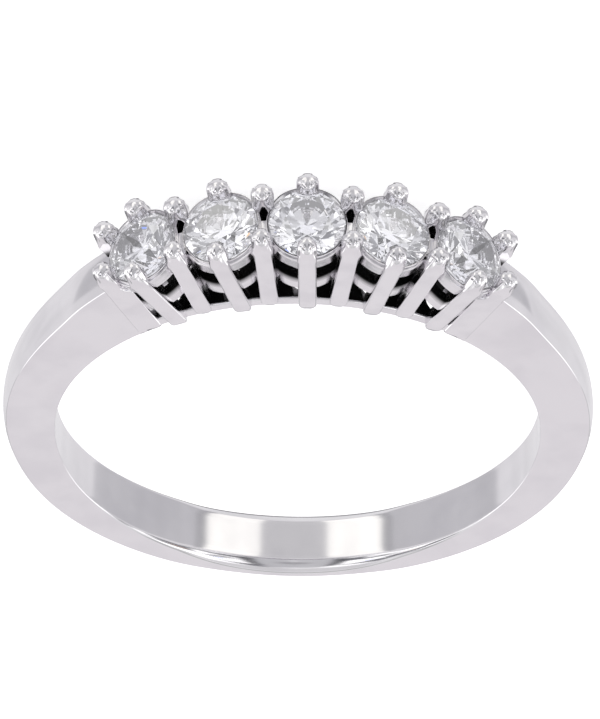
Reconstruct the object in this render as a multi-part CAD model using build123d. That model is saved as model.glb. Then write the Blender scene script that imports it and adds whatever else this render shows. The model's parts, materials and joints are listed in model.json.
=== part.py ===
from build123d import *
from collections import namedtuple
from math import asin, cos, degrees, radians, sin, tan
import os

# A five-stone ring in white metal: a band, a claw setting that is one with it, and five round
# brilliants in a row. It is drawn standing on its band, stones up, with the finger hole's axis
# along Y and the front face towards -Y. The last step lays it on its side, front face up.
# Lengths are in millimetres and angles in degrees.

# Finger hole and band
BORE_RADIUS = 8.6
BAND_WIDTH = 2.4
BAND_CROWN = 0.5
SHOULDER_HEIGHT = 3.05

# Stones, all of one size, on an arc over the setting
STONE_COUNT = 5
STONE_DIAMETER = 2.65
STONE_GAP = 0.33
STONE_STEP = 17.1
STONE_HEIGHT = 3.85
STONE_CLEARANCE = 0.03
GIRDLE_SIDES = 16
GIRDLE_THICKNESS = 0.08
TABLE_SHARE = 0.56
CROWN_ANGLE = 34.5
PAVILION_ANGLE = 40.75
STAR_SHARE = 0.5
LOWER_HALF_SHARE = 0.78

# Claws: bars with rounded tips, alternately on a stone and shared by two
CLAW_WIDTH = 0.64
CLAW_DEPTH = 0.6
CLAW_EDGE = 0.08
TIP_RADIUS = 0.37
TIP_RISE = 0.43
FOOT_PITCH = 2.33
CENTRE_FOOT_FACE = 1.02
SHARED_FOOT_FACE = 0.87
# How far the tips' outer faces lie outside the edge of the stone, and the end tips along the row
CENTRE_TIP_PROUD = 0.30
SHARED_TIP_PROUD = -0.11
END_TIP_PROUD = -0.20
END_TIP_REACH = -0.045

# Webs: plates that close most of the gap between each end claw and the next one
WEB_WIDTH = 0.30
WEB_DEPTH = 0.36
WEB_SETBACK = 0.04
WEB_TOP_SHARE = 0.72

# Rails: rings round each stone, above a base strip along the finger hole
SEAT_RIM = 0.09
RAIL_FOOT_RADIUS = 1.10
RAIL_WALL = 0.36
STRIP_THICKNESS = 0.40
STRIP_SETBACK = 0.03
STRIP_HOLE_RADIUS = 0.5
BRIDGE_WIDTH = 0.3

# How far solids that are joined or cut run into each other
OVERLAP = 0.3

# The band's sections from the back of the band to the setting. Each turn is a share of the way,
# each width a share of BAND_WIDTH, each edge height of SHOULDER_HEIGHT, each crown of BAND_CROWN.
BandSection = namedtuple("BandSection", "turn width edge crown")
BAND_SECTIONS = [
    BandSection(0.00, 1.00, 0.20, 1.00),
    BandSection(0.20, 0.90, 0.33, 0.80),
    BandSection(0.40, 0.76, 0.47, 0.45),
    BandSection(0.60, 0.64, 0.56, 0.25),
    BandSection(0.80, 0.69, 0.66, 0.20),
    BandSection(0.92, 0.72, 0.85, 0.20),
    BandSection(1.00, 0.72, 1.04, 0.20),
]

# The rails' lower and upper faces, as shares of the way from the finger hole to the girdle.
Rail = namedtuple("Rail", "low high")
MIDDLE_RAIL = Rail(0.35, 0.51)
SEAT_RAIL = Rail(0.78, 0.99)
BRIDGE = Rail(0.62, 0.84)

LAST_CLAW = STONE_COUNT
BORE_AXIS = Vector(0, 1, 0)
STONE_RADIUS = STONE_DIAMETER / 2
RAIL_TOP_RADIUS = STONE_RADIUS + SEAT_RIM
HALF_STEP = STONE_STEP / 2
FOOT_HALF_STEP = degrees(asin(FOOT_PITCH / 2 / BORE_RADIUS))
CREST_RADIUS = (STONE_RADIUS + STONE_GAP / 2) / sin(radians(HALF_STEP))
CREST_CENTRE = BORE_RADIUS + STONE_HEIGHT - CREST_RADIUS


def polar(radius, angle, centre=0.0):
    """A point in the ring's mid plane, at an angle from straight up, round a centre on the Z axis."""
    turn = radians(angle)
    return Vector(radius * sin(turn), 0, centre + radius * cos(turn))


def stone_centre(place):
    """The middle of a stone's girdle. Places count in half pitches from the middle stone."""
    return polar(CREST_RADIUS, place * HALF_STEP, CREST_CENTRE)


def tilted(origin, place):
    """A plane across a stone's axis: local Z along the axis, local Y along the finger."""
    turn = radians(place * HALF_STEP)
    return Plane(origin=origin, x_dir=(cos(turn), 0, -sin(turn)), z_dir=(sin(turn), 0, cos(turn)))


def spine_point(place, share):
    """A point between the finger hole and a stone's girdle, where a rail is centred."""
    foot = polar(BORE_RADIUS, place * FOOT_HALF_STEP)
    return foot + (stone_centre(place) - foot) * share


def rail_radius(share):
    return RAIL_FOOT_RADIUS + (RAIL_TOP_RADIUS - RAIL_FOOT_RADIUS) * share


def stone_places():
    reach = STONE_COUNT - 1
    return range(-reach, reach + 1, 2)


def claw_places():
    return range(-LAST_CLAW, LAST_CLAW + 1)


def claw_line(place, side):
    """The two ends of a claw's centre line, its foot and the middle of its tip, on one side."""
    on_stone = place in stone_places()
    foot_face = CENTRE_FOOT_FACE if on_stone else SHARED_FOOT_FACE
    foot = polar(BORE_RADIUS, place * FOOT_HALF_STEP)
    if abs(place) < LAST_CLAW:
        proud = CENTRE_TIP_PROUD if on_stone else SHARED_TIP_PROUD
        tip = polar(CREST_RADIUS + TIP_RISE, place * HALF_STEP, CREST_CENTRE)
    else:
        proud = END_TIP_PROUD
        last_stone = (LAST_CLAW - 1) * place // LAST_CLAW
        outward = (STONE_RADIUS + END_TIP_REACH) * place / LAST_CLAW
        tip = tilted(stone_centre(last_stone), last_stone).from_local_coords(Vector(outward, 0, TIP_RISE))
    foot += BORE_AXIS * side * (foot_face - CLAW_DEPTH / 2)
    tip += BORE_AXIS * side * (STONE_RADIUS + proud - CLAW_DEPTH / 2)
    return foot, tip


def band():
    """The band, lofted through its sections and cut off along the end claws."""
    sweep = 180 - LAST_CLAW * FOOT_HALF_STEP + FOOT_HALF_STEP
    rows = [(-1, row) for row in reversed(BAND_SECTIONS[1:])] + [(1, row) for row in BAND_SECTIONS]
    sections = []
    for side, row in rows:
        turn = radians(side * row.turn * sweep)
        out = Vector(sin(turn), 0, -cos(turn))
        plane = Plane(origin=(0, 0, 0), x_dir=out, z_dir=out.cross(BORE_AXIS))
        half = BAND_WIDTH * row.width / 2
        inner = BORE_RADIUS - OVERLAP
        edge = BORE_RADIUS + SHOULDER_HEIGHT * row.edge
        crown = edge + BAND_CROWN * row.crown
        outline = Polyline((edge, half), (inner, half), (inner, -half), (edge, -half))
        outline += ThreePointArc((edge, -half), (crown, 0), (edge, half))
        sections.append(plane * make_face(outline))
    whole = loft(sections)
    foot, tip = claw_line(LAST_CLAW, 1)
    reach = 2 * (tip - foot)
    corners = [foot - reach, foot + reach]
    wedge = [(p.X, p.Z) for p in corners] + [(-p.X, p.Z) for p in reversed(corners)]
    gap = Plane.XZ * make_face(Polyline(*wedge, close=True))
    return whole - extrude(gap, BAND_WIDTH, both=True)


def base_strip():
    """The strip along the finger hole that carries the claws' feet, with a hole under each stone."""
    reach = LAST_CLAW * FOOT_HALF_STEP + FOOT_HALF_STEP
    outer, inner = BORE_RADIUS + STRIP_THICKNESS, BORE_RADIUS - OVERLAP
    left, right = polar(outer, -reach), polar(outer, reach)
    low_left, low_right = polar(inner, -reach), polar(inner, reach)
    outline = ThreePointArc((left.X, left.Z), (0, outer), (right.X, right.Z))
    outline += Line((right.X, right.Z), (low_right.X, low_right.Z))
    outline += ThreePointArc((low_right.X, low_right.Z), (0, inner), (low_left.X, low_left.Z))
    outline += Line((low_left.X, low_left.Z), (left.X, left.Z))
    return extrude(Plane.XZ * make_face(outline), SHARED_FOOT_FACE - STRIP_SETBACK, both=True)


def rail(place, span):
    """One ring of a stone's basket, as wide as the basket is at that height."""
    low, high = spine_point(place, span.low), spine_point(place, span.high)
    height = (high - low).length
    plane = tilted((low + high) / 2, place)
    solid = Cone(rail_radius(span.low), rail_radius(span.high), height)
    hole = Cylinder(rail_radius(span.low) - RAIL_WALL, height + OVERLAP)
    return plane.location * (solid - hole)


def claw(place, side):
    """A bar with rounded edges from below the finger hole's wall up to a round tip."""
    foot, tip = claw_line(place, side)
    along = (tip - foot).normalized()
    across = Vector(along.Z, 0, -along.X).normalized()
    start = Plane(origin=foot - along * OVERLAP, x_dir=across, z_dir=along)
    bar = extrude(start * RectangleRounded(CLAW_WIDTH, CLAW_DEPTH, CLAW_EDGE), (tip - foot).length + OVERLAP)
    return bar + Pos(*tip) * Sphere(TIP_RADIUS)


def end_web(place, side):
    """A plate along the inner side of an end claw, a little behind its face."""
    foot, tip = claw_line(place, side)
    along = (tip - foot).normalized()
    across = Vector(along.Z, 0, -along.X).normalized()
    start = Plane(origin=foot - along * OVERLAP, x_dir=across, z_dir=along)
    width = CLAW_WIDTH / 2 + WEB_WIDTH
    inwards = -width / 2 * place / LAST_CLAW
    outwards = side * (CLAW_DEPTH / 2 - WEB_SETBACK - WEB_DEPTH / 2)
    section = start * Pos(inwards, outwards) * Rectangle(width, WEB_DEPTH)
    return extrude(section, (tip - foot).length * WEB_TOP_SHARE + OVERLAP)


def bridge(place):
    """A short wall between two baskets, from a shared claw at the front to the one at the back."""
    low, high = spine_point(place, BRIDGE.low), spine_point(place, BRIDGE.high)
    plane = tilted((low + high) / 2, place)
    depth = 2 * (SHARED_FOOT_FACE - CLAW_DEPTH / 2)
    return plane.location * Box(BRIDGE_WIDTH, depth, (high - low).length)


def brilliant_levels():
    """The radius and height of each ring of corners of the cut stone, from the table to the point."""
    half = GIRDLE_THICKNESS / 2
    slant = cos(radians(360 / GIRDLE_SIDES))
    table = STONE_RADIUS * TABLE_SHARE
    table_height = half + (STONE_RADIUS - table) * tan(radians(CROWN_ANGLE))
    star = table * slant + (STONE_RADIUS - table * slant) * STAR_SHARE
    star_height = half + (STONE_RADIUS - star * slant) * tan(radians(CROWN_ANGLE))
    lower = STONE_RADIUS * (1 - LOWER_HALF_SHARE)
    lower_height = -half - (STONE_RADIUS - lower * slant) * tan(radians(PAVILION_ANGLE))
    point_height = -half - STONE_RADIUS * tan(radians(PAVILION_ANGLE))
    return (table, table_height), (star, star_height), half, (lower, lower_height), point_height


def brilliant():
    """A round brilliant: table, stars, kites and upper halves above the girdle, and the pavilion."""
    table, star, half, lower, point_height = brilliant_levels()

    def corner(radius, height, index):
        turn = radians(360 / GIRDLE_SIDES * index)
        return Vector(radius * cos(turn), radius * sin(turn), height)

    culet = Vector(0, 0, point_height)
    outlines = [[corner(*table, i) for i in range(0, GIRDLE_SIDES, 2)]]
    for i in range(0, GIRDLE_SIDES, 2):
        for step in (-1, 1):
            top, top_next = corner(STONE_RADIUS, half, i), corner(STONE_RADIUS, half, i + step)
            low, low_next = corner(STONE_RADIUS, -half, i), corner(STONE_RADIUS, -half, i + step)
            outlines.append([top, top_next, corner(*star, i + step)])
            outlines.append([low, low_next, corner(*lower, i + step)])
            outlines.append([top, top_next, low_next, low])
        outlines.append([corner(*table, i), corner(*star, i + 1), corner(*table, i + 2)])
        outlines.append([corner(*table, i), corner(*star, i - 1), corner(STONE_RADIUS, half, i),
                         corner(*star, i + 1)])
        outlines.append([culet, corner(*lower, i - 1), corner(STONE_RADIUS, -half, i),
                         corner(*lower, i + 1)])
    faces = [Face(Wire.make_polygon(points, close=True)) for points in outlines]
    return Solid(Shell(faces))


def stone_room():
    """The round space that a stone needs in the metal, with its clearance."""
    table, star, half, lower, point_height = brilliant_levels()
    gap = STONE_CLEARANCE
    outline = Polyline(
        (0, point_height - gap),
        (lower[0] + gap, lower[1] - gap),
        (STONE_RADIUS + gap, -half - gap),
        (STONE_RADIUS + gap, half + gap),
        (star[0] + gap, star[1] + gap),
        (table[0] + gap, table[1] + gap),
        (table[0] + gap, table[1] + TIP_RADIUS),
        (0, table[1] + TIP_RADIUS),
        close=True,
    )
    return revolve(Plane.XZ * make_face(outline), Axis.Z)


def metal():
    """The band and its setting, one solid."""
    body = band() + base_strip()
    for place in stone_places():
        body += [rail(place, MIDDLE_RAIL), rail(place, SEAT_RAIL)]
    for place in claw_places():
        body += [claw(place, side) for side in (-1, 1)]
    for place in (-LAST_CLAW, LAST_CLAW):
        body += [end_web(place, side) for side in (-1, 1)]
    for place in claw_places():
        if abs(place) < LAST_CLAW and place not in stone_places():
            body += bridge(place)
    depth = STRIP_THICKNESS + 2 * OVERLAP
    for place in stone_places():
        foot = tilted(spine_point(place, 0), place)
        body -= foot.location * Cylinder(STRIP_HOLE_RADIUS, depth)
        body -= tilted(stone_centre(place), place).location * stone_room()
    bore = Plane.XZ.location * Cylinder(BORE_RADIUS, 2 * BAND_WIDTH)
    return body - bore


def laid_down(shape):
    """Lays the standing ring on its side: stones towards -Y, front face up."""
    return Location(Plane(origin=(0, 0, 0), x_dir=(-1, 0, 0), z_dir=(0, -1, 0))) * shape


os.makedirs("parts", exist_ok=True)
export_step(laid_down(metal()), "parts/band_and_setting.step")
cut_stone = brilliant()
for number, place in enumerate(stone_places(), start=1):
    placed = tilted(stone_centre(place), place).location * cut_stone
    export_step(laid_down(placed), f"parts/diamond_{number}.step")
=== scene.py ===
# %% [markdown]
# A five-stone ring in white gold, lying on its side on a pale floor.
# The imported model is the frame: it fixes every size and place, and nothing here changes them.
# Its stones are cut well enough to stay. Its metal is one solid with plain edges, so band, strip,
# rails, claws and bridges are made again over it, with the softened edges and shaped tips of
# polished metal.

# %% Load the frame
import json
import math
from collections import namedtuple

import bmesh
import bpy
from mathutils import Matrix, Vector


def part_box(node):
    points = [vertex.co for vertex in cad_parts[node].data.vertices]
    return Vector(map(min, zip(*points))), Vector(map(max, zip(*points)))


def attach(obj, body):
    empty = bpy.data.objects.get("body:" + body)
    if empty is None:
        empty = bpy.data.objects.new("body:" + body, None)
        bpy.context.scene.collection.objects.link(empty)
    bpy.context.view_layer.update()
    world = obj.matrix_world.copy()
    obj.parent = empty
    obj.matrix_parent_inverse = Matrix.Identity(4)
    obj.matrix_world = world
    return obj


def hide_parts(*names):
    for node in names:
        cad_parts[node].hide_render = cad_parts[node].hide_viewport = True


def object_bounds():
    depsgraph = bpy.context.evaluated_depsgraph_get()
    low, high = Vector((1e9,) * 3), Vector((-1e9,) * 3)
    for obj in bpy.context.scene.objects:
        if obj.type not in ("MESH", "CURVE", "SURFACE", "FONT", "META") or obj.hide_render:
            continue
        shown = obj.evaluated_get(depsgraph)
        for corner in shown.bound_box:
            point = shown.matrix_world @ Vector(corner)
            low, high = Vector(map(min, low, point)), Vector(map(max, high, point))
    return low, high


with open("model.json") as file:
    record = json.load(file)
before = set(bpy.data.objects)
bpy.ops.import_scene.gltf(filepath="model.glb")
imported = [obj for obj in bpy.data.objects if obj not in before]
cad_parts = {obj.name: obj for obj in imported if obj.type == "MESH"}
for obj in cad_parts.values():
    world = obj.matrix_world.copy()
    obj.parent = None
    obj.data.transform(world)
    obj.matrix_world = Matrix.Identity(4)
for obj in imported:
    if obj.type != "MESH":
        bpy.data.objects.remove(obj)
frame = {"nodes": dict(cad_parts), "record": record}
CAD_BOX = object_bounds()
print("the frame holds", sorted(frame["nodes"]))

# %% [markdown]
# A jeweller measures a ring from its finger hole. The record gives that radius, and the other sizes
# are in millimetres, as on the bench. Angles are in degrees. The ring's axis is Z, the front face
# looks up, the stones point to -Y, and a place along the row counts half pitches between stones,
# from the middle stone, towards -X.

# %% Sizes of the ring
MM = 0.001
FINGER_HOLE = frame["record"]["mounts"][0]["dims"]["r_mm"]
BAND_WIDTH = 2.4
BAND_CROWN = 0.5
SHOULDER_HEIGHT = 3.05

STONES = [name for name in sorted(frame["nodes"]) if name.startswith("diamond")]
STONE_RADIUS = 1.325
STONE_GAP = 0.33
STONE_STEP = 17.1
STONE_HEIGHT = 3.85

FOOT_PITCH = 2.33
LAST_CLAW = len(STONES)
HALF_STEP = STONE_STEP / 2
FOOT_HALF_STEP = math.degrees(math.asin(FOOT_PITCH / 2 / FINGER_HOLE))
CREST_RADIUS = (STONE_RADIUS + STONE_GAP / 2) / math.sin(math.radians(HALF_STEP))
CREST_CENTRE = FINGER_HOLE + STONE_HEIGHT - CREST_RADIUS
print(f"{len(STONES)} stones, crest radius {CREST_RADIUS:.2f} mm")
print(f"claw feet every {FOOT_HALF_STEP:.2f} degrees")

# %% [markdown]
# Both shaders and Geometry Nodes are trees of small sums. Adding each Math node by hand hides the
# formula, so a socket is wrapped in a class that knows arithmetic: `width * share + edge` then adds
# the nodes, and reads as the formula that it is. Vectors go through Vector Math nodes.

# %% A socket with arithmetic
def is_vector(value):
    if isinstance(value, Field):
        return value.socket.type in ("VECTOR", "RGBA")
    return isinstance(value, (tuple, list, Vector))


def joined(operation, first, second):
    """Two values through a Math node, or through a Vector Math node where either is a vector."""
    graph = next(value.graph for value in (first, second) if isinstance(value, Field))
    vectors = is_vector(first), is_vector(second)
    if not any(vectors):
        node = graph.add("ShaderNodeMath", {0: first, 1: second}, operation=operation)
    elif operation == "MULTIPLY" and not all(vectors):
        vector, scale = (first, second) if vectors[0] else (second, first)
        node = graph.add("ShaderNodeVectorMath", {0: vector, 3: scale}, operation="SCALE")
    else:
        node = graph.add("ShaderNodeVectorMath", {0: first, 1: second}, operation=operation)
    return Field(graph, node.outputs[0])


class Field:
    """A socket of a node tree, or a formula built on sockets."""

    def __init__(self, graph, socket):
        self.graph = graph
        self.socket = socket

    def __add__(self, other):
        return joined("ADD", self, other)

    def __radd__(self, other):
        return joined("ADD", other, self)

    def __sub__(self, other):
        return joined("SUBTRACT", self, other)

    def __rsub__(self, other):
        return joined("SUBTRACT", other, self)

    def __mul__(self, other):
        return joined("MULTIPLY", self, other)

    def __rmul__(self, other):
        return joined("MULTIPLY", other, self)

    def __truediv__(self, other):
        return self * (1 / other) if is_vector(self) else joined("DIVIDE", self, other)

    def __rtruediv__(self, other):
        return joined("DIVIDE", other, self)

    def __pow__(self, other):
        return joined("POWER", self, other)

    def __mod__(self, other):
        return joined("FLOORED_MODULO", self, other)

    def __gt__(self, other):
        return joined("GREATER_THAN", self, other)

    def __neg__(self):
        return self * -1.0

    def __abs__(self):
        return self.math("ABSOLUTE")

    def math(self, operation, *others):
        """This value through any other operation of a Math node."""
        inputs = dict(enumerate((self, *others)))
        node = self.graph.add("ShaderNodeMath", inputs, operation=operation)
        return Field(self.graph, node.outputs[0])

    def vector_math(self, operation, *others):
        """This vector through any other operation of a Vector Math node."""
        inputs = dict(enumerate((self, *others)))
        node = self.graph.add("ShaderNodeVectorMath", inputs, operation=operation)
        return Field(self.graph, node.outputs["Value" if operation == "LENGTH" else "Vector"])

    def parts(self):
        """The X, Y and Z of a vector."""
        node = self.graph.add("ShaderNodeSeparateXYZ", {0: self})
        return [Field(self.graph, socket) for socket in node.outputs]

    def clamped(self, low=0.0, high=1.0):
        return self.math("MAXIMUM", low).math("MINIMUM", high)

    def smooth(self, low, high):
        """0 below low, 1 above high, and a soft step between them."""
        share = ((self - low) / (high - low)).clamped()
        return share * share * (3.0 - 2.0 * share)


# %% [markdown]
# Every other node comes from one method: its type, then its settings, then what goes into its
# sockets. The points of a curve are settings too, so they are in place before anything is linked.

# %% A node tree that adds its own nodes
class Graph:
    def __init__(self, tree):
        self.tree = tree

    def add(self, kind, inputs=None, points=(), **settings):
        """A new node of this kind, with its settings first and its sockets filled after."""
        node = self.tree.nodes.new(kind)
        for name, value in settings.items():
            setattr(node, name, value)
        if points:
            self.bend_curve(node, points)
        for key, value in (inputs or {}).items():
            if isinstance(value, Field):
                self.tree.links.new(value.socket, node.inputs[key])
            else:
                node.inputs[key].default_value = value
        return node

    def bend_curve(self, node, points):
        """Gives a Float Curve its points, as many as there are, in order."""
        node.mapping.use_clip = False
        curve = node.mapping.curves[0]
        while len(curve.points) < len(points):
            curve.points.new(1.0, 1.0)
        for point, place in zip(curve.points, points):
            point.location = place
        node.mapping.update()

    def get(self, kind, output=0, inputs=None, **settings):
        """One output of a new node, ready for arithmetic."""
        return Field(self, self.add(kind, inputs, **settings).outputs[output])

    def vector(self, x, y, z):
        return self.get("ShaderNodeCombineXYZ", 0, {0: x, 1: y, 2: z})

    def mix(self, first, second, share):
        """A number or a place part of the way from one to the other."""
        return first + (second - first) * share

    def between(self, first, second, share):
        """A colour part of the way from one to the other."""
        node = self.add("ShaderNodeMix", {"Factor": share, "A": first, "B": second}, data_type="RGBA")
        return Field(self, node.outputs["Result"])


# %% [markdown]
# White gold is an alloy with a thin rhodium plating, close to a neutral mirror. What makes it look
# like metal is mostly its roughness: claws and band are bright, the rails are a little softer, and
# the insides of the baskets are rougher, as they left the mould, and painted dark as shade. The fine
# lines of polishing could be painted. They run round the ring, so here they are a noise that moves
# slowly along the circumference and fast across it.

# %% The metal's finish
class Finish(Graph):
    """A material with one Principled shader."""

    def __init__(self, name, **constants):
        self.material = bpy.data.materials.new(name)
        self.material.use_nodes = True
        super().__init__(self.material.node_tree)
        self.tree.nodes.clear()
        self.shader = self.add("ShaderNodeBsdfPrincipled", constants)
        self.add("ShaderNodeOutputMaterial", {"Surface": Field(self, self.shader.outputs[0])})
        self.place = self.get("ShaderNodeTexCoord", "Object")

    def feed(self, **fields):
        """Links what varies over the surface: base_color, roughness, normal, emission_color."""
        for name, field in fields.items():
            socket = self.shader.inputs[name.replace("_", " ").title()]
            self.tree.links.new(field.socket, socket)

    def noise(self, scale, detail=2.0):
        inputs = {"Vector": self.place, "Scale": scale, "Detail": detail}
        return self.get("ShaderNodeTexNoise", "Fac", inputs)


WHITE_GOLD = (0.86, 0.845, 0.865, 1.0)
SHADED_GOLD = (0.80, 0.785, 0.81, 1.0)
CLOUD_EDGES = (0.3, 0.6)
LINES_ACROSS = 22000.0
LINES_ALONG = 2.0
LINE_HEIGHT = 0.002


def polish_lines(finish):
    """Fine lines along the ring's circumference, from 0 to 1."""
    x, y, z = finish.place.parts()
    radius = finish.vector(x, y, 0.0).vector_math("LENGTH")
    around = finish.vector(x / radius * LINES_ALONG, y / radius * LINES_ALONG, z * LINES_ACROSS)
    inputs = {"Vector": around, "W": radius * LINES_ACROSS, "Scale": 1.0, "Detail": 3.0}
    return finish.get("ShaderNodeTexNoise", "Fac", inputs, noise_dimensions="4D")


def polished_gold(name, roughness, line_depth):
    """A polished surface: faint clouds in its colour, polish lines in its roughness and relief."""
    finish = Finish(name, Metallic=1.0)
    clouds = finish.noise(450.0, detail=3.0)
    lines = polish_lines(finish)
    relief = {"Height": lines, "Strength": line_depth, "Distance": LINE_HEIGHT * MM}
    finish.feed(
        base_color=finish.between(SHADED_GOLD, WHITE_GOLD, clouds.smooth(*CLOUD_EDGES)),
        roughness=roughness * (0.7 + 0.6 * lines) + 0.03 * clouds,
        normal=finish.get("ShaderNodeBump", 0, relief),
    )
    return finish.material


BAND_FINISH = polished_gold("white_gold_band", 0.11, 0.25)
print("made", BAND_FINISH.name)

# %% [markdown]
# The setting is finished with finer tools than the band: its claws are polished with a small cup
# wheel, while nothing reaches into the baskets. The mesh carries two values for that. The first is 1
# on the walls that look inwards: they are rougher, as metal left unpolished, and their colour is
# painted shade, nearly black, for the little light that reaches into the baskets. `tip` is 1 on the
# tips of the claws, where the bur leaves shallow dents that make them glitter.

# %% The setting's finish
# Painted shade: the near-black colour of the inward walls stands for the little light reaching them
PAINTED_SHADE_BLACK = (0.01, 0.01, 0.01, 1.0)
GRAIN_HEIGHT = 0.0005
DENT_HEIGHT = 0.03


def setting_gold(name, roughness):
    """The band's polish without its lines, rougher with painted shade on inward walls, dented on the
    tips.
    """
    finish = Finish(name, Metallic=1.0)
    hidden = finish.get("ShaderNodeAttribute", "Fac", attribute_name="hidden")
    tip = finish.get("ShaderNodeAttribute", "Fac", attribute_name="tip")
    clouds = finish.noise(900.0, detail=3.0)
    grain = finish.noise(9000.0)
    dents = finish.noise(1500.0, detail=0.5)
    relief = grain * GRAIN_HEIGHT + dents * tip * DENT_HEIGHT
    bright = finish.between(SHADED_GOLD, WHITE_GOLD, clouds.smooth(*CLOUD_EDGES))
    finish.feed(
        # The colour darkens to painted shade on the inward walls, which are also rougher
        base_color=finish.between(bright, PAINTED_SHADE_BLACK, hidden),
        roughness=roughness + 0.04 * clouds + 0.35 * hidden,
        normal=finish.get("ShaderNodeBump", 0, {"Height": relief, "Strength": 1.0, "Distance": MM}),
    )
    return finish.material


CLAW_FINISH = setting_gold("white_gold_claws", 0.10)
RAIL_FINISH = setting_gold("white_gold_rails", 0.16)
print("made", CLAW_FINISH.name, "and", RAIL_FINISH.name)

# %% [markdown]
# Geometry Nodes make the metal. A recipe is a tree whose sizes are named inputs, in metres. It
# starts as a straight sleeve: an outline pulled along a line. Each point of the sleeve remembers
# where it is along the line, which corner of the outline it belongs to, and how far the rounding
# moves it from that corner. A formula then sends it to its real place, so one sleeve can
# become a tapered band, a ring round a stone or a claw, and its edges keep their true rounding.

# %% A recipe for a piece of metal
ROUNDING = 0.1
WELD = 0.0005


def added(name, data):
    """A new object in the scene."""
    thing = bpy.data.objects.new(name, data)
    bpy.context.scene.collection.objects.link(thing)
    return thing


def applied(piece, modifier):
    """Turns what a modifier makes into the piece's own mesh."""
    depsgraph = bpy.context.evaluated_depsgraph_get()
    result = bpy.data.meshes.new_from_object(piece.evaluated_get(depsgraph))
    piece.modifiers.remove(modifier)
    piece.data = result


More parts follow.
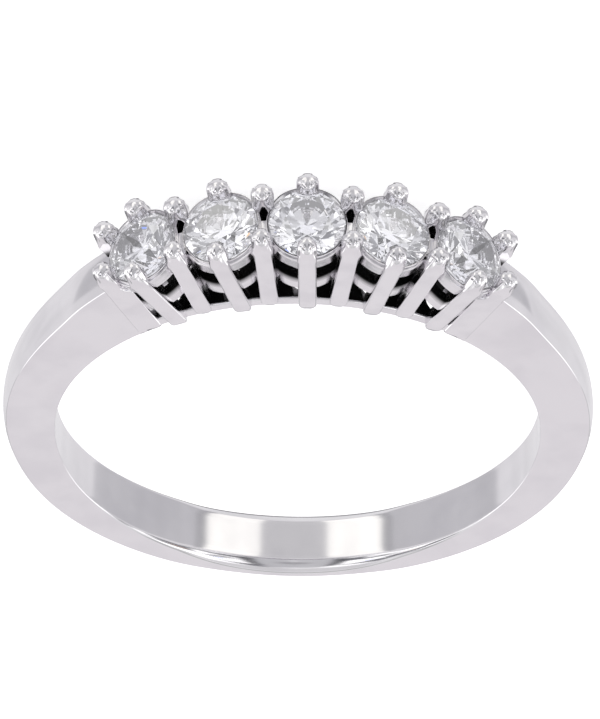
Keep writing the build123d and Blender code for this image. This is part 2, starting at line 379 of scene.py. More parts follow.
class Recipe(Graph):
    """A Geometry Nodes tree. Sizes are its named inputs, in metres, degrees or counts."""

    def __init__(self, name, **sizes):
        super().__init__(bpy.data.node_groups.new(name, "GeometryNodeTree"))
        self.sizes = {label.replace("_", " ").title(): value for label, value in sizes.items()}
        sockets = self.tree.interface
        sockets.new_socket("Geometry", in_out="OUTPUT", socket_type="NodeSocketGeometry")
        kinds = {int: "NodeSocketInt", float: "NodeSocketFloat"}
        for label, value in self.sizes.items():
            kind = kinds.get(type(value), "NodeSocketObject")
            sockets.new_socket(label, in_out="INPUT", socket_type=kind)
        self.group = self.add("NodeGroupInput")

    def size(self, name):
        return Field(self, self.group.outputs[name.replace("_", " ").title()])

    def stored(self, geometry, name, value, domain="POINT", data_type="FLOAT"):
        inputs = {"Geometry": geometry, "Name": name, "Value": value}
        settings = {"domain": domain, "data_type": data_type}
        return self.get("GeometryNodeStoreNamedAttribute", 0, inputs, **settings)

    def read(self, name, data_type="FLOAT"):
        return self.get("GeometryNodeInputNamedAttribute", 0, {"Name": name}, data_type=data_type)

    def sleeve(self, steps, cuts, rounds=5, capped=True):
        """A straight sleeve with the attributes along, corner and outline."""
        place = self.get("GeometryNodeInputPosition")
        sides = {"Width": 2.0, "Height": 1.0}
        outline = self.get("GeometryNodeCurvePrimitiveQuadrilateral", 0, sides)
        outline = self.get("GeometryNodeSubdivideCurve", 0, {"Curve": outline, "Cuts": cuts})
        outline = self.stored(outline, "corner", place, data_type="FLOAT_VECTOR")
        x, y, _ = place.parts()
        at_corner = (abs(x) > 0.99) * (abs(y) > 0.49)
        inputs = {"Curve": outline, "Count": rounds, "Radius": at_corner * ROUNDING}
        outline = self.get("GeometryNodeFilletCurve", 0, inputs, mode="POLY")
        outline = self.stored(outline, "outline", place, data_type="FLOAT_VECTOR")
        line = self.get("GeometryNodeCurvePrimitiveLine")
        line = self.get("GeometryNodeResampleCurve", 0, {"Curve": line, "Count": steps}, mode="COUNT")
        line = self.stored(line, "along", self.get("GeometryNodeSplineParameter"))
        inputs = {"Curve": line, "Profile Curve": outline, "Fill Caps": capped}
        return self.get("GeometryNodeCurveToMesh", 0, inputs)

    def outline_terms(self, edge):
        """Across from -1 to 1, up from 0 to 1, and the rounding's two offsets at this edge radius."""
        corner = self.read("corner", "FLOAT_VECTOR")
        offset = (self.read("outline", "FLOAT_VECTOR") - corner) / ROUNDING
        across, up, _ = corner.parts()
        across_offset, up_offset, _ = offset.parts()
        return across, up + 0.5, across_offset * edge, up_offset * edge

    def copies(self, geometry, count):
        """Copies of a piece in one place, numbered from 0 in the attribute number."""
        inputs = {"Count": count, "Offset": (0.0, 0.0, 0.0)}
        points = self.get("GeometryNodeMeshLine", 0, inputs)
        inputs = {"Points": points, "Instance": geometry}
        copies = self.get("GeometryNodeInstanceOnPoints", 0, inputs)
        copies = self.stored(copies, "number", self.get("GeometryNodeInputIndex"), domain="INSTANCE")
        return self.get("GeometryNodeRealizeInstances", 0, {"Geometry": copies})

    def stone_copies(self, geometry, label="stones"):
        """Copies, one for each stone or for each pair, and the place of each along the row."""
        count = self.size(label)
        copies = self.copies(geometry, count)
        return copies, self.read("number") * 2.0 - (count - 1.0)

    def placed(self, geometry, position):
        inputs = {"Geometry": geometry, "Position": position}
        return self.get("GeometryNodeSetPosition", 0, inputs)

    def merged(self, geometry):
        """Points that lie together made one, so that ends that meet are closed."""
        inputs = {"Geometry": geometry, "Distance": WELD * MM}
        return self.get("GeometryNodeMergeByDistance", 0, inputs)

    def cut(self, geometry, cutters):
        inputs = {"Mesh 1": geometry, "Mesh 2": cutters}
        return self.get("GeometryNodeMeshBoolean", 0, inputs, operation="DIFFERENCE", solver="EXACT")

    def together(self, pieces):
        """Several pieces as one geometry."""
        node = self.add("GeometryNodeJoinGeometry")
        for piece in pieces:
            self.tree.links.new(piece.socket, node.inputs[0])
        return Field(self, node.outputs[0])

    def polar(self, radius, angle, centre=0.0):
        """A point at a radius and an angle from the setting's middle, in the ring's mid plane."""
        return self.vector(-(radius * angle.math("SINE")), -(radius * angle.math("COSINE")) - centre, 0.0)

    def made(self, name, geometry, material):
        """The recipe's result as a plain mesh object that stands at the origin."""
        real = self.get("GeometryNodeRealizeInstances", 0, {"Geometry": self.merged(geometry)})
        inputs = {"Geometry": real, "Material": material}
        dressed = self.get("GeometryNodeSetMaterial", 0, inputs)
        self.add("NodeGroupOutput", {"Geometry": dressed})
        piece = added(name, bpy.data.meshes.new(name))
        modifier = piece.modifiers.new("recipe", "NODES")
        modifier.node_group = self.tree
        for item in self.tree.interface.items_tree:
            if item.in_out == "INPUT":
                modifier[item.identifier] = self.sizes[item.name]
        applied(piece, modifier)
        return piece


# %% [markdown]
# A plain mesh from a recipe still needs three things before it looks like metal. Its normals are
# recalculated, because a formula can turn a sleeve inside out. Edges sharper than the rounding stay
# sharp. Weighted normals then keep each broad face flat right up to its rounded edge, so reflections
# stay straight on the face and turn only on the edge.

# %% Finishing a mesh
SHARP_ANGLE = 38.0
SHORTEST_EDGE = 0.0004
HELPER_VALUES = ("corner", "outline", "along", "number")


def finished(piece):
    """Normals outwards, sharp edges marked, weighted normals in the mesh, helper values removed."""
    mesh = bmesh.new()
    mesh.from_mesh(piece.data)
    bmesh.ops.remove_doubles(mesh, verts=mesh.verts, dist=WELD * MM)
    bmesh.ops.dissolve_degenerate(mesh, edges=mesh.edges, dist=SHORTEST_EDGE * MM)
    bmesh.ops.recalc_face_normals(mesh, faces=mesh.faces)
    open_edges = sum(not edge.is_manifold for edge in mesh.edges)
    mesh.to_mesh(piece.data)
    mesh.free()
    for name in HELPER_VALUES:
        if name in piece.data.attributes:
            piece.data.attributes.remove(piece.data.attributes[name])
    piece.data.polygons.foreach_set("use_smooth", [True] * len(piece.data.polygons))
    piece.data.set_sharp_from_angle(angle=math.radians(SHARP_ANGLE))
    modifier = piece.modifiers.new("weighted", "WEIGHTED_NORMAL")
    modifier.keep_sharp = True
    applied(piece, modifier)
    corners = [vertex.co for vertex in piece.data.vertices]
    size = [(max(c[i] for c in corners) - min(c[i] for c in corners)) / MM for i in range(3)]
    print(f"{piece.name}: {len(piece.data.polygons)} faces, {open_edges} open edges, "
          f"{size[0]:.2f} x {size[1]:.2f} x {size[2]:.2f} mm")
    return piece


def keep(piece):
    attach(piece, "root")
    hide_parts("band_and_setting")


# %% [markdown]
# The band is widest at the back, where it is worn, and grows narrow and high towards the setting. A
# goldsmith rolls it as a tapered bar, bends it round a mandrel and files the sides flat, which
# leaves a crisp crease between each flat side and the domed outside. The inner edges are rounded
# for comfort, most of all at the back. It could be lofted through drawn sections. Here float curves
# give width, height, crown and comfort as shares of the main sizes at each turn from the back,
# mirrored so that both halves are alike, and the sleeve follows them. Its ends lean with the last
# claws, which is where a real band is soldered to its setting.

# %% The band
BAND_SECTIONS = {
    "turn": (0.00, 0.20, 0.40, 0.60, 0.80, 0.92, 1.00),
    "width": (1.00, 0.90, 0.76, 0.64, 0.69, 0.72, 0.72),
    "edge": (0.20, 0.33, 0.47, 0.56, 0.66, 0.85, 1.04),
    "crown": (1.00, 0.80, 0.45, 0.25, 0.20, 0.20, 0.20),
    "comfort": (1.00, 0.45, 0.12, 0.06, 0.06, 0.06, 0.06),
}
COMFORT_EDGE = 0.5
OUTER_EDGE = 0.06
SECTION_SWEEP = 180 - (LAST_CLAW - 1) * FOOT_HALF_STEP
FOOT_ANGLE = LAST_CLAW * FOOT_HALF_STEP
END_TIP_REACH = 1.28
TIP_RISE = 0.43


def end_tip():
    """Radius and angle of the last claw's tip, seen from the finger hole's axis."""
    turn = math.radians((LAST_CLAW - 1) * HALF_STEP)
    rise = CREST_RADIUS + TIP_RISE
    side = rise * math.sin(turn) + END_TIP_REACH * math.cos(turn)
    height = CREST_CENTRE + rise * math.cos(turn) - END_TIP_REACH * math.sin(turn)
    return math.hypot(side, height), math.degrees(math.atan2(side, height))


END_TIP_RADIUS, END_TIP_ANGLE = end_tip()


def make_band():
    recipe = Recipe(
        "Band", finger_hole=FINGER_HOLE * MM, band_width=BAND_WIDTH * MM,
        shoulder_height=SHOULDER_HEIGHT * MM, band_crown=BAND_CROWN * MM,
        comfort=COMFORT_EDGE * MM, outer_edge=OUTER_EDGE * MM, steps=241,
    )
    sleeve = recipe.sleeve(recipe.size("steps"), cuts=7, rounds=8)
    across, up, _, _ = recipe.outline_terms(1.0)

    def share(name, turn):
        """A column of the sections at a turn from the back, the same on both sides."""
        rows = list(zip(BAND_SECTIONS["turn"], BAND_SECTIONS[name]))
        left = [(0.5 - at / 2, value) for at, value in reversed(rows[1:])]
        right = [(0.5 + at / 2, value) for at, value in rows]
        place = turn / (2 * SECTION_SWEEP) + 0.5
        return recipe.get("ShaderNodeFloatCurve", 0, {"Value": place}, points=left + right)

    hole, shoulder = recipe.size("finger_hole"), recipe.size("shoulder_height")
    towards_end = recipe.read("along") * 2.0 - 1.0

    def turn_at(radius):
        """Degrees from the back. The ends lean, so it depends on the radius too."""
        lean = (radius - hole) / (END_TIP_RADIUS * MM - hole) * (FOOT_ANGLE - END_TIP_ANGLE)
        return towards_end * (180.0 - FOOT_ANGLE + lean)

    first_turn = towards_end * (180.0 - FOOT_ANGLE)
    turn = turn_at(hole + shoulder * share("edge", first_turn) * up)
    inner_edge = recipe.size("comfort") * share("comfort", turn)
    outer_edge = recipe.size("outer_edge")
    edge = recipe.mix(inner_edge, outer_edge, up)
    _, _, across_offset, up_offset = recipe.outline_terms(edge)
    on_side = (up > 0.01) * (1.0 - (up > 0.99))
    between = 1.0 - (abs(across) > 0.99)
    flat = shoulder * share("edge", turn)
    side = (flat * up).math("MAXIMUM", on_side * inner_edge)
    side = side.math("MINIMUM", flat - on_side * outer_edge)
    crown = recipe.size("band_crown") * share("crown", turn) * (1.0 - across * across) * up
    radius = hole + side + crown + up_offset
    half_width = recipe.size("band_width") * share("width", turn) / 2.0
    reach = half_width - between * edge
    angle = turn_at(radius).math("RADIANS")
    height = (across * half_width).math("MINIMUM", reach).math("MAXIMUM", -reach) + across_offset
    place = recipe.vector(-(radius * angle.math("SINE")), radius * angle.math("COSINE"), height)
    return recipe.made("band", recipe.placed(sleeve, place), BAND_FINISH)


keep(finished(make_band()))

# %% [markdown]
# Under the claws runs a thin strip, bent along the finger hole. It carries their feet, and has a
# round hole under each stone that lets light and water through. No wheel reaches its top or the
# holes, so they stay rougher, and their colour is painted dark as shade. It could be a sheet with
# holes that is bent afterwards. Here it is the same sleeve with constant sides, whose points gather
# near the edges, so that the rough, shaded top ends close to them. A Mesh Boolean then drills it,
# after the bending, as a goldsmith would. One drill is copied to every stone, so the holes follow
# the number of stones.

# %% The stones' places in a recipe
def stone_axis(recipe, place):
    """Across and along directions of the axis of a stone, at a place along the row."""
    angle = (place * HALF_STEP).math("RADIANS")
    sine, cosine = angle.math("SINE"), angle.math("COSINE")
    return recipe.vector(-cosine, sine, 0.0), recipe.vector(-sine, -cosine, 0.0)


def spine_point(recipe, place, share):
    """A point between the finger hole and the girdle of a stone, where a rail is centred."""
    foot = recipe.polar(recipe.size("finger_hole"), (place * FOOT_HALF_STEP).math("RADIANS"))
    girdle = recipe.polar(CREST_RADIUS * MM, (place * HALF_STEP).math("RADIANS"), CREST_CENTRE * MM)
    return foot + (girdle - foot) * share


def round_axis(recipe, place, origin, radius, height, turn, flat=1.0):
    """A point at a radius, height and turn about a stone's axis, on a circle or a flatter oval."""
    across, along = stone_axis(recipe, place)
    up = recipe.vector(0.0, 0.0, radius * turn.math("SINE") * flat)
    return origin + across * (radius * turn.math("COSINE")) + up + along * height


# %% The base strip
STRIP_HALF_WIDTH = 0.84
STRIP_THICKNESS = 0.40
STRIP_EDGE = 0.07
STRIP_HOLE_RADIUS = 0.5
STRIP_BRIGHT_FROM = 0.92
GATHER = 0.75
DRILL = {"Vertices": 45, "Radius": 1.0, "Depth": 3.0}


def make_strip():
    recipe = Recipe(
        "Base strip", finger_hole=FINGER_HOLE * MM, half_width=STRIP_HALF_WIDTH * MM,
        thickness=STRIP_THICKNESS * MM, edge=STRIP_EDGE * MM, hole_radius=STRIP_HOLE_RADIUS * MM,
        stones=len(STONES), steps=128,
    )
    sleeve = recipe.sleeve(recipe.size("steps"), cuts=4)
    across, up, across_offset, up_offset = recipe.outline_terms(recipe.size("edge"))
    across = across * (1.0 + GATHER - GATHER * across * across)
    radius = recipe.size("finger_hole") + recipe.size("thickness") * up + up_offset
    reach = FOOT_ANGLE + FOOT_HALF_STEP / 4
    angle = ((recipe.read("along") * 2.0 - 1.0) * reach).math("RADIANS")
    level = recipe.vector(0.0, 0.0, across * recipe.size("half_width") + across_offset)
    strip = recipe.placed(sleeve, recipe.polar(radius, angle) + level)
    # Painted shade and more roughness on the strip's top between the claws; its edges stay bright
    shaded_top = up.smooth(0.5, 1.0) * (1.0 - abs(across).smooth(STRIP_BRIGHT_FROM, 1.0))
    strip = recipe.merged(recipe.stored(strip, "hidden", shaded_top))

    drill = recipe.get("GeometryNodeMeshCylinder", 0, DRILL)
    drills, stone = recipe.stone_copies(drill)
    x, y, z = recipe.get("GeometryNodeInputPosition").parts()
    sideways, outwards = stone_axis(recipe, stone)
    bit = recipe.size("hole_radius")
    foot = spine_point(recipe, stone, 0.0)
    level = recipe.vector(0.0, 0.0, -(y * bit))
    drills = recipe.placed(drills, foot + sideways * (x * bit) + outwards * (z * bit) + level)
    # The hole walls are rougher and painted dark as shade
    drills = recipe.stored(drills, "hidden", 1.0)
    return recipe.made("base_strip", recipe.cut(strip, drills), RAIL_FINISH)


keep(finished(make_strip()))

# %% [markdown]
# Each stone sits in a basket of two rings: a middle rail and a seat rail. The seat is cut on the
# inside to the slope of the stone's underside, and a thin rim stands on it, which shows as a double
# line beside the stone. Each could be a torus with a square section. Here it is the sleeve again,
# bent into a full circle about the stone's axis, so the ends meet and are merged, and the circle can
# be filed a little flatter at the front and stand out at the back. The middle rail's inside and top
# are marked rougher, and their colour is painted dark as shade.

# %% The rails
RAIL_FOOT_RADIUS = 1.10
RAIL_TOP_RADIUS = 1.415
RAIL_WALL = 0.36
RAIL_EDGE = 0.025
SEAT_CLEARANCE = 0.03
PAVILION_SLOPE = math.tan(math.radians(40.75))
# The last column is how much of the inward walls is rougher and painted dark as shade
Rail = namedtuple("Rail", "low high wall swell back flat dull")
RAILS = {
    "middle rail": Rail(0.345, 0.54, RAIL_WALL, 0.0, 0.0, (0.85, 0.85), 1.0),
    "seat rail": Rail(0.75, 0.955, RAIL_WALL, 0.02, 0.08, (0.90, 1.0), 0.0),
    "rim": Rail(0.93, 0.995, 0.16, -0.035, 0.12, (1.0, 1.0), 0.0),
}


def rail_ring(recipe, rail):
    """One of the rails, at every stone."""
    sleeve = recipe.sleeve(recipe.size("steps"), cuts=3, rounds=3, capped=False)
    sleeve, stone = recipe.stone_copies(sleeve)
    across, up, across_offset, up_offset = recipe.outline_terms(recipe.size("edge"))
    share = recipe.mix(rail.low, rail.high, up)
    taper = RAIL_TOP_RADIUS - RAIL_FOOT_RADIUS
    outer = (RAIL_FOOT_RADIUS + taper * share + rail.swell) * MM
    low_radius = RAIL_FOOT_RADIUS + taper * rail.low
    depth = (1.0 - share) * STONE_HEIGHT
    seat = (STONE_RADIUS + SEAT_CLEARANCE - depth / PAVILION_SLOPE) * MM
    inner = seat.math("MAXIMUM", (low_radius - rail.wall) * MM)
    radius = recipe.mix(inner, outer, (across + 1.0) / 2.0) + across_offset
    turn = recipe.read("along") * math.tau
    radius = radius + rail.back * MM * (-turn.math("SINE")).smooth(0.2, 0.9)
    origin = spine_point(recipe, stone, share)
    flat = recipe.mix(*rail.flat, up)
    ring = recipe.placed(sleeve, round_axis(recipe, stone, origin, radius, up_offset, turn, flat))
    # Painted shade and more roughness on the rail's inside and top
    inward_shade = (-across).smooth(-0.2, 0.6).math("MAXIMUM", up.smooth(0.55, 0.95))
    return recipe.stored(ring, "hidden", rail.dull * inward_shade)


def make_rails():
    recipe = Recipe(
        "Rails", finger_hole=FINGER_HOLE * MM, edge=RAIL_EDGE * MM, stones=len(STONES), steps=97,
    )
    rings = recipe.together(rail_ring(recipe, rail) for rail in RAILS.values())
    return recipe.made("rails", rings, RAIL_FINISH)


keep(finished(make_rails()))

# %% [markdown]
# Twenty-two claws hold the stones, in two rows. Every other one stands on the middle of a stone,
# and the others are shared by two neighbours. A claw is a rectangular bar with a flat polished
# face. Its foot is rounded like a U and trimmed flush with the finger hole. Its tip swells, was bent
# over the stone and rounded with a cup bur, and at the front it ends in a nib that leans in. Each
# claw at an end carries a web, a thin wall that closes the corner to the band's shoulder. Every claw
# could be modelled by hand. All of them follow one rule, though, so one sleeve is copied twenty-two
# times and each copy works out its own foot, lean and tip from its number.

# %% The claws
CLAW_WIDTH = 0.64
CLAW_DEPTH = 0.60
CLAW_EDGE = 0.09
CENTRE_FACE = {"foot": 1.02, "tip": STONE_RADIUS + 0.30}
SHARED_FACE = {"foot": 0.87, "tip": STONE_RADIUS - 0.11}
END_TIP_DROP = 0.09
END_FOOT_DEPTH = 0.35
WEB_WIDTH = 0.30
WEB_TOP_SHARE = 0.72
# The claws were soldered in by hand: these feet stand a little to one side, towards -X
FOOT_SHIFTS = {-4.0: 0.22, -2.0: 0.25, 0.0: 0.13}

# Heights near the tip: how far below the end of the centre line something starts, and its length
DOME = (0.02, 0.39)
SWELL = (0.95, 0.80)
ROUNDED = (0.45, 0.50)
NIB = (0.35, 0.72)
DENTED = (0.40, 0.30)
BRIGHT = (0.90, 0.40)
# Swelling of a tip: its share at the front, and what the back adds
CENTRE_SWELL = (0.08, 0.16)
SHARED_SWELL = (0.17, 0.08)
CENTRE_NIB = 0.13
SHARED_NIB = 0.06
FOOT_ROUND_HEIGHT = 0.30
FOOT_THINNING = 0.12
# Height above the foot where a claw's inner face starts being rougher and painted dark as shade
ROUGH_SHADE_FROM = 0.15

Claw = namedtuple("Claw", "foot length along across outward shared end at_back")


def claw_lines(recipe, place, side):
    """A claw's foot, the length and direction of its centre line, and its directions across."""
    shared = abs(place) % 2.0
    is_end = abs(place) > LAST_CLAW - 0.5
    sign = place.math("SIGN")
    foot_face = recipe.mix(CENTRE_FACE["foot"], SHARED_FACE["foot"], shared) - CLAW_DEPTH / 2
    tip_face = recipe.mix(CENTRE_FACE["tip"], SHARED_FACE["tip"], shared) - CLAW_DEPTH / 2
    tip_face = tip_face - is_end * END_TIP_DROP
    foot = recipe.polar(recipe.size("finger_hole"), (place * FOOT_HALF_STEP).math("RADIANS"))
    tip_place = place - sign * is_end
    angle = (tip_place * HALF_STEP).math("RADIANS")
    tip = recipe.polar((CREST_RADIUS + TIP_RISE) * MM, angle, CREST_CENTRE * MM)
    sideways, _ = stone_axis(recipe, tip_place)
    tip = tip + sideways * (sign * is_end * END_TIP_REACH * MM)
    shifts = FOOT_SHIFTS.items()
    aside = sum(shift * (1.0 - abs(place - at)).clamped() for at, shift in shifts)
    foot = foot + recipe.vector(aside * -MM, 0.0, side * foot_face * MM)
    tip = tip + recipe.vector(0.0, 0.0, side * tip_face * MM)
    line = tip - foot
    along = line.vector_math("NORMALIZE")
    x, y, _ = along.parts()
    across = recipe.vector(y, -x, 0.0).vector_math("NORMALIZE")
    outward = across.vector_math("CROSS_PRODUCT", along).vector_math("NORMALIZE") * side
    length = line.vector_math("LENGTH")
    return Claw(foot, length, along, across, outward, shared, sign * is_end, 0.5 - side * 0.5)


def near_tip(beyond, span):
    """0 below a span of heights near the tip, 1 above it, and a soft step along it."""
    start, reach = span
    return (beyond + start * MM).smooth(0.0, reach * MM)


def along_tip(beyond, span):
    """0 below a span of heights near the tip, 1 above it, and a straight slope along it."""
    start, reach = span
    return ((beyond + start * MM) / (reach * MM)).clamped()


def claw_point(recipe, claw, height, beyond):
    """Where a point of the sleeve goes: across the claw, along it and out of its face."""
    x, up, x_offset, up_offset = recipe.outline_terms(recipe.size("edge"))
    y = up * 2.0 - 1.0
    dome = (1.0 - along_tip(beyond, DOME) ** 3.0).clamped() ** 0.5
    centre_swell = CENTRE_SWELL[0] + CENTRE_SWELL[1] * claw.at_back
    shared_swell = SHARED_SWELL[0] + SHARED_SWELL[1] * claw.at_back
    swell = 1.0 + recipe.mix(centre_swell, shared_swell, claw.shared) * near_tip(beyond, SWELL)
    inside_row = 1.0 - abs(claw.end)
    foot_round = (1.0 - height / (FOOT_ROUND_HEIGHT * MM)).clamped() * inside_row
    foot_width = (1.0 - foot_round * foot_round).math("MAXIMUM", 0.01) ** 0.5
    foot_depth = 1.0 - FOOT_THINNING * foot_round * foot_round
    nib = (1.0 - claw.at_back) * inside_row * recipe.mix(CENTRE_NIB, SHARED_NIB, claw.shared) * MM
    nib = nib * along_tip(beyond, NIB) ** 2.0
    below_web_top = 1.0 - (height / claw.length).smooth(WEB_TOP_SHARE, WEB_TOP_SHARE + 0.04)
    web = (-(x * claw.end) > 0.01) * WEB_WIDTH * MM * below_web_top
    rounded = near_tip(beyond, ROUNDED)
    x_round = 1.0 - rounded * (1.0 - (1.0 - y * y / 2.0) ** 0.5)
    y_round = 1.0 - rounded * (1.0 - (1.0 - x * x / 2.0) ** 0.5)
    sideways = (x * recipe.size("claw_width") / 2.0 + x_offset) * x_round * swell * dome
    forward = (y * recipe.size("claw_depth") / 2.0 + up_offset) * y_round * swell * dome
    across = claw.across * (sideways * foot_width - claw.end * web)
    outward = claw.outward * (forward * foot_depth - nib)
    return claw.foot + claw.along * height + across + outward, y


def outside_hole(recipe, point):
    """A point moved out to the wall of the finger hole if it lies inside the hole."""
    x, y, z = point.parts()
    distance = recipe.vector(x, y, 0.0).vector_math("LENGTH")
    push = (recipe.size("finger_hole") / distance).math("MAXIMUM", 1.0)
    return recipe.vector(x * push, y * push, z)


def make_claws(stone_rooms):
    row = 2 * LAST_CLAW + 1
    recipe = Recipe(
        "Claws", finger_hole=FINGER_HOLE * MM, claw_width=CLAW_WIDTH * MM,
        claw_depth=CLAW_DEPTH * MM, edge=CLAW_EDGE * MM, claws=2 * row, steps=61,
        stone_rooms=stone_rooms,
    )
    sleeve = recipe.sleeve(recipe.size("steps"), cuts=4, rounds=5)
    sleeve = recipe.copies(sleeve, recipe.size("claws"))
    number = recipe.read("number")
    side = 1.0 - 2.0 * (number > row - 0.5)
    claw = claw_lines(recipe, number % float(row) - float(LAST_CLAW), side)

    below = abs(claw.end) * END_FOOT_DEPTH * MM
    total = claw.length + (DOME[1] - DOME[0]) * MM + below
    height = (1.0 - (recipe.read("along") * math.pi).math("COSINE")) / 2.0 * total - below
    beyond = height - claw.length
    point, y = claw_point(recipe, claw, height, beyond)
    bars = recipe.placed(sleeve, outside_hole(recipe, point))
    # Painted shade, nearly black, and more roughness on each claw's inner face, from above the foot to
    # below the bright tip
    above_foot = (height - ROUGH_SHADE_FROM * MM).smooth(0.0, ROUGH_SHADE_FROM * MM)
    shaded_stretch = above_foot * (1.0 - near_tip(beyond, BRIGHT))
    bars = recipe.stored(bars, "hidden", (-y).smooth(-0.2, 0.8) * shaded_stretch)
    bars = recipe.stored(bars, "tip", near_tip(beyond, DENTED))
    inputs = {"Object": recipe.size("stone_rooms")}
    rooms = recipe.get("GeometryNodeObjectInfo", "Geometry", inputs)
    return recipe.made("claws", recipe.cut(bars, rooms), CLAW_FINISH)


# %% [markdown]
# The claws are notched where a stone's edge goes in. A copy of each stone, a hair larger, is the
# cutter. The frame's triangles are loose, so the copy is merged before it is scaled.

# %% Room for the stones
FRAME_WELD = 0.001


def make_stone_rooms():
    rooms = bmesh.new()
    for name in STONES:
        stone = bmesh.new()
        stone.from_mesh(frame["nodes"][name].data)
        bmesh.ops.remove_doubles(stone, verts=stone.verts, dist=FRAME_WELD * MM)
        low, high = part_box(name)
        middle = (low + high) / 2
        grow = 1 + SEAT_CLEARANCE / STONE_RADIUS
        for vertex in stone.verts:
            vertex.co = middle + (vertex.co - middle) * grow
        mesh = bpy.data.meshes.new("stone_room")
        stone.to_mesh(mesh)
        stone.free()
        rooms.from_mesh(mesh)
        bpy.data.meshes.remove(mesh)
    mesh = bpy.data.meshes.new("stone_rooms")
    rooms.to_mesh(mesh)
    rooms.free()
    print("room for", len(STONES), "stones:", len(mesh.polygons), "faces")
    return added("stone_rooms", mesh)


stone_rooms = make_stone_rooms()
keep(finished(make_claws(stone_rooms)))
bpy.data.objects.remove(stone_rooms)

# %% [markdown]
# Two baskets are tied together by a short wall, from the shared claw at the front to the one at the
# back. It lies deep, stays rougher, and its colour is painted dark as shade. Higher up, a small
# bright gusset behind each front claw fills the corner between two stones. Both could be cut from
# sheet. They are straight blocks with rounded edges, and the gusset narrows towards the back, so they
# are one recipe with two rows of sizes.

# %% The bridges and gussets
BLOCK_EDGE = 0.04
Block = namedtuple("Block", "width low high back front taper dull")
# The last column is how much of a block is rougher and painted dark as shade
BLOCKS = {
    "bridge": Block(0.30, 0.62, 0.84, -0.57, 0.57, 0.0, 1.0),
    "gusset": Block(0.54, 0.88, 0.97, -0.22, 0.76, 0.35, 0.0),
}


def block_bars(recipe, block):
    """One kind of block, between every two stones."""
    bars, place = recipe.stone_copies(recipe.sleeve(2, cuts=1), "bridges")
    across, up, across_offset, up_offset = recipe.outline_terms(recipe.size("edge"))
    sideways, outwards = stone_axis(recipe, place)
    along = recipe.read("along")
    level = recipe.vector(0.0, 0.0, recipe.mix(block.back * MM, block.front * MM, along))
    width = block.width * MM * (1.0 - block.taper * (1.0 - along))
    x = across * width / 2.0 + across_offset
    middle = spine_point(recipe, place, recipe.mix(block.low, block.high, up))
    bars = recipe.placed(bars, middle + sideways * x + outwards * up_offset + level)
    # The bridge is rougher and painted dark as shade; the gusset stays bright
    return recipe.stored(bars, "hidden", block.dull)


def make_bridges():
    recipe = Recipe(
        "Bridges", finger_hole=FINGER_HOLE * MM, edge=BLOCK_EDGE * MM, bridges=len(STONES) - 1,
    )
    blocks = recipe.together(block_bars(recipe, block) for block in BLOCKS.values())
    return recipe.made("bridges", blocks, RAIL_FINISH)


keep(finished(make_bridges()))

# %% [markdown]
# A brilliant is clear and bends light more than any other gem, so nearly all of what enters comes
# back out of the top, cut into patches by the facets. The frame's stones have the true facets, so
# they stay and only get the material: full transmission and the index of diamond. A faint tint and a
# few tiny marks of polish keep them from looking too perfect. A faint glow stands for the light that
# is lost after the last bounce that is counted inside a stone.

# %% The stones
DIAMOND_INDEX = 2.417
STONE_GLOW = 0.045
STONE_TINTS = (0.90, 0.90, 0.95, 1.0), (0.96, 0.955, 0.965, 1.0)
GLOW_TINTS = (0.94, 0.94, 1.0, 1.0), (1.0, 0.99, 1.0, 1.0)


def diamond():
    constants = {"Transmission Weight": 1.0, "IOR": DIAMOND_INDEX, "Emission Strength": STONE_GLOW}
    finish = Finish("diamond", Roughness=0.0, **constants)
    tint = finish.noise(700.0, detail=1.0)
    marks = finish.noise(6000.0, detail=3.0)
    finish.feed(
        base_color=finish.between(*STONE_TINTS, tint),
        roughness=marks.smooth(0.62, 0.8) * 0.04,
        emission_color=finish.between(*GLOW_TINTS, tint),
    )
    return finish.material


DIAMOND = diamond()
for name in STONES:
    stone = frame["nodes"][name]
    stone.data.materials.clear()
    stone.data.materials.append(DIAMOND)
print("dressed", len(STONES), "stones")

# %% [markdown]
# Polished metal shows what is around it, so its look is made by the surroundings. Jewellery is
# photographed in a tent: white from nearly everywhere, with cards in it. It could be built of lit
# sheets. Here the world is that tent, painted by direction: how far round from the stones' side, the
# same left and right, and how far above the horizon. A mauve card stands behind the ring, where the
# flat sides look. A dark line above it draws the knee of every claw, and lights at the sides draw
# the crease. The inside of the band looks down and forward, at two white sheets with grey beside
# them. A grey card and narrow dark strips near the camera streak the rounded tips. Two tiny gleams,
# blue and amber, and clouds of light and shade in front give the stones their sparkle, and light
# that comes out of the bottom of a stone finds white below the horizon.

# %% The tent
class Tent(Graph):
    """The world, with the direction of view as a turn and a rise in degrees."""

    def __init__(self):
        world = bpy.data.worlds.new("tent")
        world.use_nodes = True
        bpy.context.scene.world = world
        super().__init__(world.node_tree)
        self.tree.nodes.clear()
        self.direction = self.get("ShaderNodeTexCoord", "Generated").vector_math("NORMALIZE")
        x, y, z = self.direction.parts()
        self.turn = (-x).math("ARCTAN2", -y).math("DEGREES")
        self.rise = z.math("ARCSINE").math("DEGREES")

    def within(self, value, low, high, soft):
        """1 between two edges, with soft steps."""
        return value.smooth(low - soft, low + soft) * (1.0 - value.smooth(high - soft, high + soft))

    def noise(self, scale, detail):
        inputs = {"Vector": self.direction, "Scale": scale, "Detail": detail}
        return self.get("ShaderNodeTexNoise", "Fac", inputs)


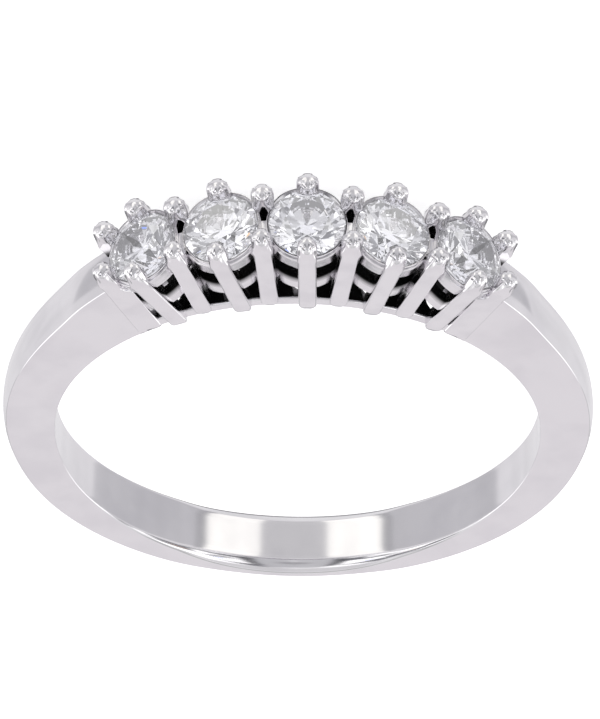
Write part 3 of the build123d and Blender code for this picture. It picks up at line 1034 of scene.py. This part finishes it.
Card = namedtuple("Card", "turns rises soft colour")
TENT_WHITE = (0.88, 0.88, 0.89, 1.0)
LIGHT_CLOUDS = (1.45, 1.45, 1.45, 1.0)
DARK_CLOUDS = (0.20, 0.20, 0.22, 1.0)
FOLD_SHADE = (0.3, 0.3, 0.31, 1.0)
BEHIND_STONES = (0.92, 0.92, 0.97, 1.0)
BACKGROUND = (1.0, 1.0, 1.0, 1.0)
CARDS = {
    "belt": Card((-1, 181), (-58, -8), 2, (0.84, 0.83, 0.85, 1.0)),
    "grey sheet in front": Card((-1, 16), (-50, -12), 1, (0.65, 0.645, 0.66, 1.0)),
    "white sheets": Card((16, 43), (-50, -12), 1, (1.30, 1.29, 1.24, 1.0)),
    "grey sheets at the sides": Card((43, 113), (-48, -24), 2, (0.60, 0.595, 0.62, 1.0)),
    "shade under the back": Card((140, 181), (-75, -42), 4, (0.32, 0.32, 0.33, 1.0)),
    "horizon behind": Card((125, 181), (-9, 5), 3, (0.35, 0.35, 0.36, 1.0)),
    "mauve card": Card((130, 181), (8, 52), 3, (0.81, 0.785, 0.81, 1.0)),
    "dark line": Card((105, 181), (58, 66), 3, (0.45, 0.45, 0.45, 1.0)),
    "side lights": Card((92, 128), (-5, 35), 3, (1.5, 1.5, 1.5, 1.0)),
    "softbox above": Card((-1, 181), (72, 91), 4, (0.72, 0.715, 0.73, 1.0)),
    "sheet edges": Card((43, 48), (-50, -12), 1, (0.40, 0.40, 0.42, 1.0)),
    "grey card in front": Card((-1, 21), (-8, 70), 4, (0.60, 0.60, 0.62, 1.0)),
    "dark strips": Card((18, 25), (4, 58), 2, (0.12, 0.12, 0.13, 1.0)),
    "camera": Card((-1, 7), (22, 38), 4, (0.40, 0.40, 0.41, 1.0)),
    "blue gleam": Card((38, 42), (44, 48), 1, (0.25, 0.42, 1.2, 1.0)),
    "amber gleam": Card((58, 61), (28, 31), 1, (1.2, 0.65, 0.25, 1.0)),
}


def pitch_tent():
    tent = Tent()
    turn, rise = abs(tent.turn), tent.rise
    front = (1.0 - turn.smooth(85.0, 100.0)) * rise.smooth(2.0, 8.0)
    clouds = tent.noise(3.4, detail=1.0)
    light = front * clouds.smooth(0.53, 0.55)
    dark = front * (1.0 - clouds.smooth(0.43, 0.45))
    colour = tent.between(TENT_WHITE, LIGHT_CLOUDS, light)
    colour = tent.between(colour, DARK_CLOUDS, dark)
    for card in CARDS.values():
        across = tent.within(turn, *card.turns, card.soft)
        upwards = tent.within(rise, *card.rises, card.soft)
        colour = tent.between(colour, card.colour, across * upwards)
    folds = tent.noise(7.0, detail=2.0)
    shade = folds.smooth(0.35, 0.65) * (1.0 - rise.smooth(-14.0, -8.0)) * 0.12
    colour = tent.between(colour, FOLD_SHADE, shade)
    through_stone = tent.get("ShaderNodeLightPath", "Is Transmission Ray")
    below = 1.0 - rise.smooth(-12.0, -6.0)
    colour = tent.between(colour, BEHIND_STONES, through_stone * below)
    colour = tent.between(colour, BACKGROUND, tent.get("ShaderNodeLightPath", "Is Camera Ray"))
    background = tent.add("ShaderNodeBackground", {"Color": colour, "Strength": 1.0})
    tent.add("ShaderNodeOutputWorld", {"Surface": Field(tent, background.outputs[0])})
    print("pitched the tent with", len(CARDS), "cards")


pitch_tent()

# %% [markdown]
# The ring lies on a pale floor, a plain square. It takes a shadow, but the metal and the stones look
# past it at the tent, because a lying ring would otherwise show little but the floor in its polished
# sides. For the camera it glows too, so that it stays nearly white under the soft light.

# %% The floor
FLOOR_HALF = 1.5
FLOOR_GLOW = 0.12
FLOOR_GLOW_SEEN = 0.58
FLOOR_TINTS = (0.74, 0.74, 0.745, 1.0), (0.76, 0.76, 0.76, 1.0)


def make_floor():
    level = CAD_BOX[0][2]
    sides = ((-1, -1), (1, -1), (1, 1), (-1, 1))
    corners = [(x * FLOOR_HALF, y * FLOOR_HALF, level) for x, y in sides]
    mesh = bpy.data.meshes.new("floor")
    mesh.from_pydata(corners, [], [range(len(corners))])
    floor = added("floor", mesh)
    finish = Finish("pale_floor", **{"Roughness": 0.8, "Emission Strength": 1.0})
    seen = finish.get("ShaderNodeLightPath", "Is Camera Ray")
    glow = FLOOR_GLOW + FLOOR_GLOW_SEEN * seen
    finish.feed(
        base_color=finish.between(*FLOOR_TINTS, finish.noise(300.0)),
        emission_color=finish.vector(glow, glow, glow),
    )
    mesh.materials.append(finish.material)
    floor.visible_glossy = False
    floor.visible_transmission = False
    print("laid", floor.name)


make_floor()

# %% [markdown]
# The photograph was taken with a long lens, from in front of the stones and about 32 degrees above
# the ring's front face as it lies here. The camera keeps that angle. It is aimed a little off the
# finger hole's centre, so that the hole lands where the photograph has it, with no lens shift.

# %% The camera
FRAME_WIDTH, FRAME_HEIGHT = 600, 719
HOLE_CENTRE_PX = (297.73, 415.10)
PX_PER_MM = 28.201
CAMERA_DISTANCE = 300.0
CAMERA_TILT = 58.23
CAMERA_SWING = 0.28
CAMERA_ROLL = 0.32
RING_TURN = 1.3
SENSOR = 36.0
NEAREST = 0.01


def laid(standing):
    """A direction on the standing ring, as it is on the ring that lies on its side."""
    return Vector((-standing.x, -standing.z, -standing.y))


def set_camera():
    angles = CAMERA_TILT, CAMERA_SWING, CAMERA_ROLL
    tilt, swing, roll = (math.radians(angle) for angle in angles)
    east, north = math.sin(swing), -math.cos(swing)
    towards = Vector((east * math.cos(tilt), north * math.cos(tilt), math.sin(tilt)))
    level = (-towards).cross(Vector((0, 0, 1))).normalized()
    upright = level.cross(-towards)
    right = math.cos(roll) * level + math.sin(roll) * upright
    up = math.cos(roll) * upright - math.sin(roll) * level
    towards, right, up = laid(towards), laid(right), laid(up)
    aside = (FRAME_WIDTH / 2 - HOLE_CENTRE_PX[0]) / PX_PER_MM
    above = (HOLE_CENTRE_PX[1] - FRAME_HEIGHT / 2) / PX_PER_MM
    aim = right * aside + up * above
    eye = towards * CAMERA_DISTANCE
    back = (eye - aim).normalized()
    right = up.cross(back).normalized()
    up = back.cross(right)
    pose = Matrix((right, up, back)).transposed().to_4x4()
    pose.translation = eye * MM
    data = bpy.data.cameras.new("camera")
    data.sensor_fit = "HORIZONTAL"
    data.sensor_width = SENSOR
    data.lens = PX_PER_MM * CAMERA_DISTANCE / FRAME_WIDTH * SENSOR
    data.clip_start = NEAREST
    camera = added("camera", data)
    camera.matrix_world = Matrix.Rotation(math.radians(RING_TURN), 4, "Z") @ pose
    bpy.context.scene.camera = camera
    print(f"lens {data.lens:.1f} mm")


set_camera()
bpy.context.scene.view_settings.view_transform = "Standard"
